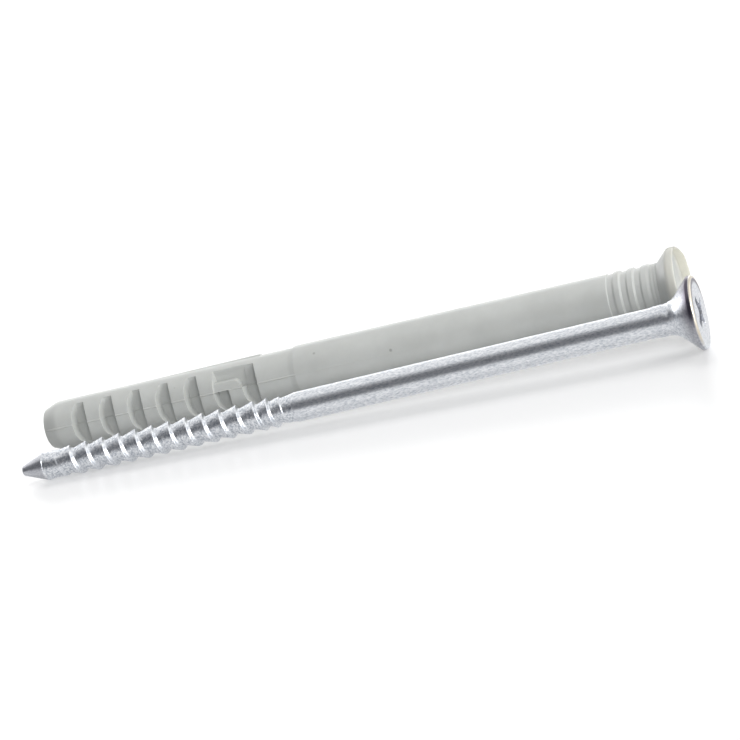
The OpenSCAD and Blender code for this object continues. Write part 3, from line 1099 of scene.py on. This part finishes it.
@dataclass
class NailScrew:
    """Nail screw: blunt tip, rolled buttress thread, shank, gripped neck and countersunk head."""

    x: float = -52.547
    y: float = -6.25
    roll: float = 40.0
    length: float = 105.0
    tip_r: float = 0.725
    tip_len: float = 3.8
    tip_edge: float = 0.08
    tip_edge_end: float = -10.0
    shank_r: float = 2.2
    blank_r: float = 2.15
    root_r: float = 1.75
    thread_r: float = 2.325
    thread_pitch: float = 2.68
    thread_end: float = 43.9
    thread_turns: int = 14
    rest_turns: int = 2
    start_share: float = 0.35
    rise_turns: float = 1.6
    fall_end: float = 14.6
    fall_turns: float = 1.3
    crowd_z: float = 38.5
    crowd_share: float = 0.72
    run_in: float = 4.5
    run_out: float = 2.4
    shoulder: float = 0.06
    neck_r: float = 2.275
    neck_len: float = 6.4
    neck_step: float = 0.6
    head_r: float = 5.35
    head_rim: float = 0.8
    head_angle: float = 90.0
    head_blend: float = 3.0
    head_edge: float = 0.15
    crown_edge: float = 0.38
    # Share of painted shade on the lower side of the head's side; the upper side gets all of it
    low_painted_shade: float = 0.45
    neck_rough: float = 0.6
    tip_rough: float = 0.25
    # Share of darkening on the tip
    tip_darkening: float = 0.36
    # Shares of painted shade on the face and deep in the recess
    face_painted_shade: float = 0.12
    recess_painted_shade: float = 0.45
    recess_half: float = 2.8
    recess_depth: float = 2.8
    wing_half: float = 0.6
    core_r: float = 1.3
    recess_taper: float = 0.45
    recess_turn: float = 64.0
    columns: int = 192
    # Share of tooth height at lengths along one pitch: long leading flank, narrow crest, steep holding flank
    tooth_z: tuple[float, ...] = (
        *(0, 0.5, 1, 1.5, 1.82, 1.93, 1.99, 2.05),
        *(2.1, 2.15, 2.21, 2.27, 2.33, 2.4, 2.48, 2.58),
    )
    tooth_h: tuple[float, ...] = (
        *(0, 0.24, 0.49, 0.74, 0.91, 0.97, 1, 1),
        *(0.95, 0.82, 0.62, 0.42, 0.26, 0.13, 0.05, 0.01),
    )
    # First row of the steep flank, and the row after its last
    flank_rows: tuple[int, int] = (7, 15)
    flank_rough: float = 0.12
    grip_mark_z: tuple[float, ...] = (99.2, 99.65, 100.4, 100.9, 101.3)
    grip_mark_h: tuple[float, ...] = (0.03, 0.05, 0.025, 0.06, 0.04)
    # Start and end of soft steps, counted from the form that they belong to: along or out from the axis in
    # millimetres, in degrees, in turns, or for a lift from -1 at the lowest line to 1 at the highest
    start_turn: Fade = (-0.06, 0.0)
    mark_turn: Fade = (34.0, 22.0)
    mark_len: Fade = (0.22, 0.05)
    wing_wall: Fade = (0.05, -0.05)
    thread_rough: Fade = (1.0, -1.0)
    tip_smooth: Fade = (-0.2, 0.6)
    tip_end: Fade = (0.0, -0.1)
    # Soft steps of the painted shade on the head's side, ring, face and recess
    side_r: Fade = (0.0, 0.1)
    side_z: Fade = (0.12, 0.0)
    side_lift: Fade = (-0.5, 0.5)
    ring_out: Fade = (0.0, -0.12)
    ring_in: Fade = (-0.95, -0.35)
    ring_z: Fade = (-0.06, -0.01)
    ring_lift: Fade = (-0.35, 0.65)
    face_r: Fade = (0.0, -0.2)
    pit_depth: Fade = (0.03, 0.5)
    # Soft steps of the painted highlight along the head's edge
    painted_highlight_r: Fade = (-0.08, 0.02)
    painted_highlight_z: Fade = (0.04, 0.12)
    painted_highlight_lift: Fade = (-0.87, -0.26)
    mark_limit: float = 0.3
    face_margin: float = 0.3
    sharp_angle: float = 32.0
    # Rows and steps of the mesh
    row_gap: float = 0.05
    neck_row: float = 0.1
    # Turns of rows before the thread starts and past its last turn, which end flush with the blank
    spare_turns: tuple[int, int] = (-1, 3)
    tip_rows: int = 14
    shank_rows: int = 24
    rim_rows: int = 24
    recess_rows: int = 72
    edge_steps: int = 5
    crown_steps: int = 8
    blend_steps: int = 20

    @property
    def lay(self) -> Lay:
        """The nail rests on the crest of an early turn of its thread and on the rim of its head."""
        thread = (self.tip_len + self.rest_turns * self.thread_pitch, self.thread_r)
        return Lay(self.x, self.y, self.roll, thread, (self.length - self.head_rim, self.head_r))

    def turned_rows(self, rows: np.ndarray) -> tuple[np.ndarray, np.ndarray]:
        """Spreads rows of length and radius round the axis.

        Args:
            rows: Rows of length and radius.

        Returns:
            Length and radius of each point.
        """
        shape = (len(rows), self.columns + 1)
        return np.broadcast_to(rows[:, :1], shape), np.broadcast_to(rows[:, 1:], shape)

    def tip(self) -> tuple[np.ndarray, np.ndarray]:
        """Turns the blunt tip with its rounded edge, its cone and the shoulder where the blank starts.

        Returns:
            Length and radius of each point.
        """
        slope = (self.shank_r - self.tip_r) / self.tip_len
        inset = self.tip_r - self.tip_edge
        edge = arc(inset, self.tip_edge, self.tip_edge, -90, self.tip_edge_end, self.edge_steps)
        places = np.linspace(self.tip_edge, self.tip_len - self.row_gap, self.tip_rows)
        cone = [(z, self.tip_r + slope * z) for z in places]
        end = [(self.tip_len, self.shank_r), (self.tip_len + self.shoulder, self.blank_r)]
        return self.turned_rows(np.vstack([[(0, 0), (0, self.tip_r / 2)], edge, cone, end]))

    def core(self, z: np.ndarray) -> np.ndarray:
        """Radius of the core under the thread at each length."""
        places = [self.tip_len, self.tip_len + self.run_in, self.thread_end - self.run_out, self.thread_end]
        return np.interp(z, places, [self.blank_r, self.root_r, self.root_r, self.blank_r])

    def thread(self) -> tuple[np.ndarray, np.ndarray]:
        """Winds rows that climb with the thread; a row's end is the start of the row one pitch further.

        Returns:
            Length and radius of each point.
        """
        share = np.linspace(0, 1, self.columns + 1)[None, :]
        turns = np.arange(self.spare_turns[0], self.thread_turns + self.spare_turns[1])
        start = np.repeat(turns, len(self.tooth_z))[:, None] + share
        z = self.tip_len + self.thread_pitch * start + np.tile(self.tooth_z, turns.size)[:, None]
        z = np.where(z > self.crowd_z, self.crowd_z + (z - self.crowd_z) * self.crowd_share, z)
        rise = fade(0, self.start_turn, start) * np.clip(self.start_share + start / self.rise_turns, 0, 1)
        fall = np.clip((self.fall_end - start) / self.fall_turns, 0, 1)
        core = self.core(z)
        height = np.tile(self.tooth_h, turns.size)[:, None] * np.minimum(rise, fall)
        r = core + height * (self.thread_r - core)
        low = self.tip_len + self.shoulder
        r = np.where((z <= low) | (z >= self.thread_end), self.blank_r, r)
        return np.clip(z, low, self.thread_end), r

    def shank(self) -> tuple[np.ndarray, np.ndarray]:
        """Turns the shank, the neck and the head up to the edge of its face.

        Returns:
            Length and radius of each point.
        """
        neck_z = self.length - self.neck_len
        crown_r, crown_z = self.head_r - self.crown_edge, self.length - self.crown_edge
        half = self.head_angle / 2
        blend_r = self.neck_r + self.head_blend * (1 - math.cos(math.radians(half)))
        blend_z = (
            self.length
            - self.head_rim
            - (self.head_r - blend_r) / math.tan(math.radians(half))
            - self.head_blend * math.sin(math.radians(half))
        )
        low_z = self.length - self.head_rim + self.head_edge * math.tan(math.radians(half / 2))
        bar_z = np.linspace(self.thread_end + self.shoulder, neck_z - self.neck_step, self.shank_rows)
        neck_rows = np.arange(neck_z, blend_z - self.row_gap, self.neck_row)
        hollow_r = self.neck_r + self.head_blend
        rows = np.vstack(
            [
                [(z, self.shank_r) for z in bar_z],
                [(z, self.neck_r) for z in neck_rows],
                arc(hollow_r, blend_z, self.head_blend, 180, 180 - half, self.blend_steps),
                arc(self.head_r - self.head_edge, low_z, self.head_edge, -half, 0, self.edge_steps),
                arc(crown_r, crown_z, self.crown_edge, 0, 90, self.crown_steps),
            ]
        )
        z, r = self.turned_rows(rows)
        return z, r + self.grip_marks(z, r)

    def grip_marks(self, z: np.ndarray, r: np.ndarray) -> np.ndarray:
        """Low ridges that the heading die leaves on two sides of the neck.

        Args:
            z: Length of each point.
            r: Radius of each point.

        Returns:
            Height to add at each point.
        """
        turn = np.linspace(0, 360, self.columns + 1)[None, :]
        height = np.zeros_like(z)
        across = fade(0, self.mark_turn, np.abs((turn + 90 + self.roll) % 180 - 90))
        for mark, rise in zip(self.grip_mark_z, self.grip_mark_h):
            height = np.maximum(height, rise * fade(0, self.mark_len, np.abs(z - mark)) * across)
        return np.where(r < self.neck_r + self.mark_limit, height, 0)

    def face(self) -> tuple[np.ndarray, np.ndarray]:
        """Presses the cross recess into the flat face, from the rim to the middle.

        Returns:
            Length and radius of each point.
        """
        margin = self.recess_half + self.face_margin
        rim = np.linspace(self.head_r - self.crown_edge, margin, self.rim_rows)[1:]
        inner = np.linspace(margin, 0, self.recess_rows)[1:]
        r = np.broadcast_to(np.concatenate([rim, inner])[:, None], (rim.size + inner.size, self.columns + 1))
        turn = np.radians(np.linspace(0, 360, self.columns + 1) - self.recess_turn)[None, :]
        x, y = r * np.cos(turn), r * np.sin(turn)
        depth = self.core_depth(r)
        for a, b in ((x, y), (y, x)):
            depth = np.maximum(depth, self.wing_depth(np.abs(a), np.abs(b)))
        return self.length - depth, r

    def core_depth(self, r: np.ndarray) -> np.ndarray:
        """Depth of the round middle of the recess."""
        wall = (self.core_r - r) / (self.core_r * (1 - self.recess_taper)) * self.recess_depth
        return np.clip(wall, 0, self.recess_depth)

    def wing_depth(self, along: np.ndarray, across: np.ndarray) -> np.ndarray:
        """Depth of one pair of recess wings.

        Args:
            along: Distance from the middle along the wings.
            across: Distance from the middle line of the wings.

        Returns:
            Depth at each point.
        """
        end = (self.recess_half - along) / (self.recess_half * (1 - self.recess_taper)) * self.recess_depth
        wall = fade(self.wing_half, self.wing_wall, across)
        return np.clip(end, 0, self.recess_depth) * wall

    def rolled(self, z: np.ndarray, threaded: bool) -> np.ndarray:
        """Finds the rough rolled or gripped surface of one part of the nail.

        Args:
            z: Length of each point.
            threaded: Whether the part is the thread, whose steep flanks are smooth.

        Returns:
            The rough share of each point.
        """
        neck_z = self.length - self.neck_len
        rough = self.tip_rough + (1 - self.tip_rough) * fade(self.tip_len, self.tip_smooth, z)
        rough = rough * fade(self.thread_end, self.thread_rough, z)
        rough = np.maximum(rough, self.neck_rough * fade(neck_z, (-self.neck_step, 0), z))
        if threaded:
            row = np.arange(len(z)) % len(self.tooth_z)
            steep = (row >= self.flank_rows[0]) & (row < self.flank_rows[1])
            rough = rough * np.where(steep, self.flank_rough, 1)[:, None]
        return rough

    def worked_marks(
        self, z: np.ndarray, r: np.ndarray, angle: np.ndarray, on_face: np.ndarray
    ) -> dict[Mark, np.ndarray]:
        """Finds the painted shade on the head, the darker tip, and the painted highlight on the head's edge.

        Args:
            z: Length of each point.
            r: Radius of each point.
            angle: Turn of each line in radians, as a row.
            on_face: Whether each row belongs to the face, as a column.

        Returns:
            The share of painted shade and darker tip, and the share of painted highlight, of each point.
        """
        edge_z, edge_r = self.length - self.crown_edge, self.head_r - self.crown_edge
        # Lift of each line: the upper side of the head gets more painted shade, and the lowest side no
        # painted highlight
        lift = np.sin(math.radians(self.roll) - angle)
        upper = self.low_painted_shade + (1 - self.low_painted_shade) * fade(0, self.side_lift, lift)
        side = fade(edge_r, self.side_r, r) * fade(edge_z, self.side_z, z) * upper
        ring = fade(edge_r, self.ring_out, r) * fade(edge_r, self.ring_in, r)
        ring = ring * fade(0, self.ring_lift, lift) * fade(self.length, self.ring_z, z)
        # Painted shade on the face, deeper in the recess
        deep = fade(0, self.pit_depth, self.length - z)
        face = self.face_painted_shade + (self.recess_painted_shade - self.face_painted_shade) * deep
        face = face * on_face * fade(edge_r, self.face_r, r)
        # Darker tip
        tip = self.tip_darkening * fade(self.tip_len, self.tip_end, z)
        painted_shade_and_dark_tip = np.maximum.reduce([side, ring, face, tip])
        # Painted highlight along the head's edge, fading out on its lowest side
        painted_highlight = fade(edge_z, self.painted_highlight_z, z) * fade(edge_r, self.painted_highlight_r, r) * fade(0, self.painted_highlight_lift, lift)
        return {Mark.PAINTED_SHADE_AND_DARK_TIP: painted_shade_and_dark_tip.ravel(), Mark.PAINTED_HIGHLIGHT: painted_highlight.ravel()}

    def build(self, finish: bpy.types.Material) -> bpy.types.Object:
        """Builds and dresses the nail.

        Args:
            finish: Material of the nail.

        Returns:
            The nail's object.
        """
        thread = self.thread()
        parts = [self.tip(), thread, self.shank(), self.face()]
        z = np.vstack([part[0] for part in parts])
        r = np.vstack([part[1] for part in parts])
        angle = np.linspace(0, 2 * math.pi, self.columns + 1)[None, :]
        points = np.stack([r * np.cos(angle), r * np.sin(angle), z], axis=-1).reshape(-1, 3)
        on_face = (np.arange(len(z)) >= len(z) - len(parts[-1][0]))[:, None]
        rolled = np.vstack([self.rolled(part[0], part is thread) for part in parts])
        obj = welded_object(
            "nail",
            points,
            ring_quads(len(z), self.columns + 1, False, False),
            self.lay.matrix(),
            {Mark.ROLLED: rolled.ravel(), **self.worked_marks(z, r, angle, on_face)},
        )
        obj.data.set_sharp_from_angle(angle=math.radians(self.sharp_angle))
        obj.data.materials.append(finish)
        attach(obj, ROOT_BODY)
        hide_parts("nail_screw")
        return obj


@dataclass(frozen=True)
class Lamp:
    """A soft lamp: its place and size in metres, its power, and whether shiny surfaces show it."""

    name: str
    at: Place
    wide: float
    high: float
    watts: float
    mirrored: bool


@dataclass(frozen=True)
class Card:
    """A matt card that only shiny surfaces see: one corner, its two sides in metres, and its colour."""

    name: str
    corner: Place
    across: Place
    up: Place
    colour: str

    def corners(self) -> list[Place]:
        """The four corners in order."""
        low, across, up = Vector(self.corner), Vector(self.across), Vector(self.up)
        return [tuple(place) for place in (low, low + across, low + across + up, low + up)]


@dataclass
class Studio:
    """White table, soft lamps, grey cards that the metal mirrors, and the camera.

    The table, the lamps and the cards are in metres, the camera's place and its lens in millimetres.
    """

    table_half: float = 3.0
    table_colour: str = "#cdcdcd"
    table_roughness: float = 0.35
    table_glow: float = 0.33
    sky_colour: str = "#f6f7f9"
    sky_strength: float = 0.33
    backdrop_colour: str = "#ffffff"
    unlit: str = "#000000"
    mirrored_cards: tuple[Card, ...] = (
        Card("front_card", (-0.75, -0.95, 0), (1.95, 0, 0), (0, 0, 1.08), "#87888c"),
        Card("top_card", (-0.75, -0.95, 1.08), (1.95, 0, 0), (0, 0, 0.42), "#cccdd0"),
        Card("front_roof", (-0.75, -0.95, 1.5), (1.95, 0, 0), (0, 0.45, 0), "#f2f3f5"),
        Card("left_card", (-0.75, -0.95, 0), (0, 1.05, 0), (0, 0, 0.8), "#818286"),
    )
    lamps: tuple[Lamp, ...] = (
        Lamp("overhead_softbox", (-0.1, 0.4, 0.8), 0.5, 0.5, 3.2, False),
        Lamp("side_softbox", (0.85, -0.4, 0.38), 0.4, 0.66, 6.3, True),
        Lamp("key_softbox", (0.4, -0.8, 0.3), 0.35, 0.35, 2.4, False),
        Lamp("rim_softbox", (0.85, 0.5, 0.3), 0.6, 0.6, 1.2, True),
        Lamp("back_strip", (-0.25, 0.9, 0.25), 0.9, 0.35, 1.5, True),
        Lamp("left_strip", (-0.8, 0.45, 0.16), 0.35, 0.28, 1.2, True),
    )
    camera_at: Place = (121.952, -410.972, 142.693)
    camera_right: Place = (0.944198, 0.184206, -0.273055)
    camera_up: Place = (0.19292, 0.362643, 0.911741)
    lens: float = 149.25
    sensor: float = 36.0
    near_clip: float = 0.01

    def seen_directly(self, tree: bpy.types.NodeTree) -> bpy.types.NodeSocket:
        """Light path test that is 1 for what the camera, a mirror or clear stuff sees.

        Args:
            tree: The node tree that uses it.

        Returns:
            The test's output socket.
        """
        path = add_node(tree, "ShaderNodeLightPath")
        seen = path.outputs["Is Camera Ray"]
        for ray in ("Is Glossy Ray", "Is Transmission Ray"):
            inputs = {"Value": seen, "Value_001": path.outputs[ray]}
            seen = add_node(tree, "ShaderNodeMath", {"operation": "MAXIMUM"}, inputs).outputs["Value"]
        return seen

    def plane(self, name: str, corners: list[Place], material: bpy.types.Material) -> bpy.types.Object:
        """Adds a flat sheet of the studio.

        Args:
            name: Name of the sheet.
            corners: Its corners in metres.
            material: Its material.

        Returns:
            The sheet's object.
        """
        mesh = bpy.data.meshes.new(name)
        mesh.from_pydata(corners, [], [tuple(range(len(corners)))])
        mesh.materials.append(material)
        obj = bpy.data.objects.new(name, mesh)
        bpy.context.scene.collection.objects.link(obj)
        return obj

    def table(self) -> None:
        """White laminate table that keeps the shadow and reads as white."""
        material = bpy.data.materials.new("white_laminate")
        tree = empty_tree(material)
        sheet = add_node(
            tree,
            "ShaderNodeBsdfPrincipled",
            inputs={"Base Color": linear(self.table_colour), "Roughness": self.table_roughness},
        )
        glow = add_node(tree, "ShaderNodeEmission", inputs={"Strength": self.table_glow})
        dark = add_node(tree, "ShaderNodeBsdfTransparent", inputs={"Color": linear(self.unlit)})
        shown = add_node(
            tree,
            "ShaderNodeMixShader",
            inputs={
                "Fac": self.seen_directly(tree),
                "Shader": dark.outputs["BSDF"],
                "Shader_001": glow.outputs["Emission"],
            },
        )
        both = add_node(
            tree,
            "ShaderNodeAddShader",
            inputs={"Shader": sheet.outputs["BSDF"], "Shader_001": shown.outputs["Shader"]},
        )
        add_node(tree, "ShaderNodeOutputMaterial", inputs={"Surface": both.outputs["Shader"]})
        h = self.table_half
        self.plane("table", [(-h, -h, 0), (h, -h, 0), (h, h, 0), (-h, h, 0)], material)

    def cards(self) -> None:
        """Sets up the cards in front, above and to the left, which the metal mirrors as darker stripes."""
        for card in self.mirrored_cards:
            material = bpy.data.materials.new(f"matt_{card.name}")
            tree = empty_tree(material)
            matt = add_node(tree, "ShaderNodeBsdfDiffuse", inputs={"Color": linear(card.colour)})
            add_node(tree, "ShaderNodeOutputMaterial", inputs={"Surface": matt.outputs["BSDF"]})
            sheet = self.plane(card.name, card.corners(), material)
            sheet.visible_camera = False
            sheet.visible_shadow = False
            sheet.visible_diffuse = False

    def sky(self) -> None:
        """Even light from all round that reads as white behind the object."""
        world = bpy.data.worlds.new("white_tent")
        tree = empty_tree(world)
        light = add_node(
            tree,
            "ShaderNodeBackground",
            inputs={"Color": linear(self.sky_colour), "Strength": self.sky_strength},
        )
        white = add_node(tree, "ShaderNodeBackground", inputs={"Color": linear(self.backdrop_colour)})
        both = add_node(
            tree,
            "ShaderNodeMixShader",
            inputs={
                "Fac": self.seen_directly(tree),
                "Shader": light.outputs["Background"],
                "Shader_001": white.outputs["Background"],
            },
        )
        add_node(tree, "ShaderNodeOutputWorld", inputs={"Surface": both.outputs["Shader"]})
        bpy.context.scene.world = world

    def lamp(self, lamp: Lamp) -> None:
        """Adds one lamp, aimed at the object.

        Args:
            lamp: The lamp's place, size and power.
        """
        light = bpy.data.lights.new(lamp.name, "AREA")
        light.shape = "RECTANGLE"
        light.size = lamp.wide
        light.size_y = lamp.high
        light.energy = lamp.watts
        obj = bpy.data.objects.new(lamp.name, light)
        obj.location = lamp.at
        obj.rotation_euler = (-Vector(lamp.at)).to_track_quat("-Z", "Y").to_euler()
        obj.visible_glossy = lamp.mirrored
        bpy.context.scene.collection.objects.link(obj)

    def camera(self) -> None:
        """Places the camera at the picture's viewing angle."""
        data = bpy.data.cameras.new("camera")
        data.lens = self.lens
        data.sensor_width = self.sensor
        data.sensor_fit = "HORIZONTAL"
        data.clip_start = self.near_clip
        obj = bpy.data.objects.new("camera", data)
        right = Vector(self.camera_right)
        up = Vector(self.camera_up)
        turn = Matrix((right, up, right.cross(up))).transposed().to_4x4()
        obj.matrix_world = Matrix.Translation(Vector(self.camera_at) * MM) @ turn
        bpy.context.scene.collection.objects.link(obj)
        bpy.context.scene.camera = obj

    def build(self) -> None:
        """Sets up the whole studio."""
        self.table()
        self.cards()
        self.sky()
        for lamp in self.lamps:
            self.lamp(lamp)
        self.camera()
        bpy.context.scene.view_settings.view_transform = "Standard"


def main() -> None:
    """Builds the sleeve, the nail and the studio, and notes the sizes."""
    logging.basicConfig(level=logging.INFO, format="%(name)s: %(message)s")
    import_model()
    pieces = [
        PlugSleeve().build(MouldedPolyamide().material()),
        NailScrew().build(BrightZincSteel().material()),
    ]
    for piece in pieces:
        LOG.info("%s: %d points, %d faces", piece.name, len(piece.data.vertices), len(piece.data.polygons))
    Studio().build()
    bpy.context.view_layer.update()


if __name__ == "__main__":
    main()
